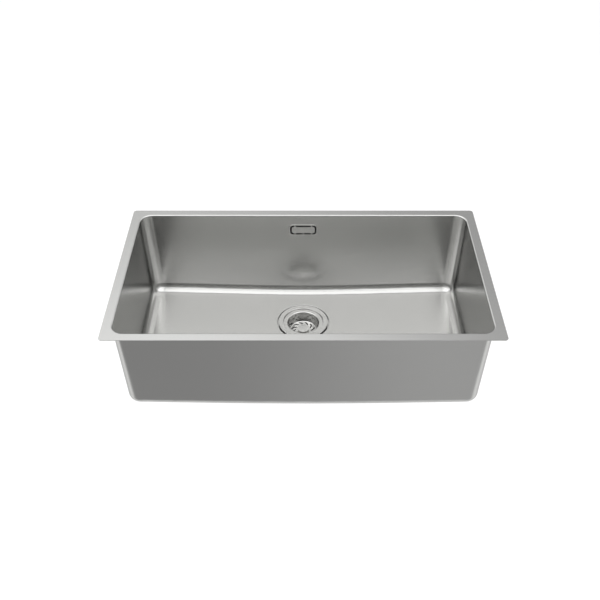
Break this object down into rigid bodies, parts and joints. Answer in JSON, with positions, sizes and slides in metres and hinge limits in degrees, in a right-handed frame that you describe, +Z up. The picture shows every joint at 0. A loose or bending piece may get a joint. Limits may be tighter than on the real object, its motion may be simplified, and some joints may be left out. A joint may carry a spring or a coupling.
{
  "type": "undermount kitchen sink",
  "caption": "Undermount kitchen sink: a long pressed steel bowl with a flat flange, a lift-out basket strainer in its floor and an overflow in its rear wall.",
  "frame": {"origin": "centre of the bowl opening, on the flange's top face, which is clamped up against the underside of the worktop", "axes": "+X along the long side, to the right seen from the front; +Y to the rear wall with the overflow; +Z up, out of the bowl"},
  "size_m": [0.78, 0.4582, 0.309],
  "materials": {
    "steel_satin": "satin brushed along the walls",
    "steel_bright": "fine satin, nearly polished",
    "steel_plain": "plain turned",
    "brass_insert": "plain turned",
    "plastic_black": "moulded",
    "plastic_grey": "moulded",
    "rubber_black": "moulded",
    "rubber_grey": "pressed sheet"
  },
  "bodies": {
    "sink": {"bowl": "steel_satin", "sound_pad_left": "rubber_grey", "sound_pad_right": "rubber_grey", "waste_cup": "steel_bright", "flange_seal": "rubber_black", "floor_seal": "rubber_black", "waste_body": "plastic_black", "hub_insert": "brass_insert", "centre_screw": "steel_plain", "overflow_cover": "steel_bright", "overflow_gasket": "rubber_black", "overflow_housing": "plastic_grey", "overflow_nuts": "brass_insert", "overflow_pipe": "plastic_grey", "union_nut_top": "plastic_black", "union_nut_bottom": "plastic_black", "union_washer_top": "rubber_black", "union_washer_bottom": "rubber_black"},
    "clip": {"post_clip": "steel_plain"},
    "strainer": {"basket": "steel_bright", "basket_knob": "steel_bright", "basket_post": "steel_plain", "stopper_seal": "rubber_black", "stopper_plate": "plastic_black"}
  },
  "joints": [
    {"name": "basket_lift", "type": "slide", "parent": "sink", "child": "clip", "axis": [0, 0, 1], "range_m": [0, 0.28]},
    {"name": "basket_turn", "type": "hinge", "parent": "clip", "child": "strainer", "pos_m": [0, 0.083, -0.2216], "axis": [0, 0, 1], "continuous": true}
  ]
}
